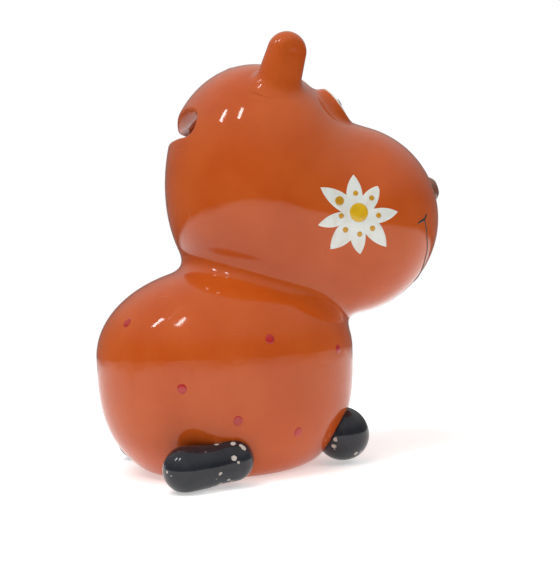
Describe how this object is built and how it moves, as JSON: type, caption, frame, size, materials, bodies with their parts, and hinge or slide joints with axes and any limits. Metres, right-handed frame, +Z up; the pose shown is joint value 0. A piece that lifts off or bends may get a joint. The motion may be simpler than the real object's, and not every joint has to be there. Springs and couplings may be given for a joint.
{
  "type": "piggy bank",
  "caption": "Hollow glazed earthenware hippo money bank with a coin slot across the back of its head, painted feet and a rubber stopper in its base.",
  "frame": {"origin": "middle of the whole figure's footprint, on the ground", "axes": "+Z up, the animal looks along -Y, its right side is -X"},
  "size_m": [0.0782, 0.118, 0.1375],
  "materials": {
    "orange_glaze": "glossy transparent glaze over orange slip",
    "white_paint": "gloss enamel",
    "brown_paint": "gloss enamel",
    "black_paint": "gloss blue-black enamel, chipped",
    "stopper_rubber": "matt soft rubber"
  },
  "bodies": {
    "bank": {"body_shell": "orange_glaze", "head_shell": "orange_glaze", "ear_right": "orange_glaze", "ear_left": "orange_glaze", "eye_right": "white_paint", "eye_left": "white_paint", "nostril_right": "brown_paint", "nostril_left": "brown_paint", "foot_front_right": "black_paint", "foot_front_left": "black_paint", "foot_hind_right": "black_paint", "foot_hind_left": "black_paint"},
    "stopper": {"stopper": "stopper_rubber"}
  },
  "joints": [
    {"name": "stopper_pull", "type": "slide", "parent": "bank", "child": "stopper", "axis": [0, 0, -1], "range_m": [0, 0.02]}
  ]
}
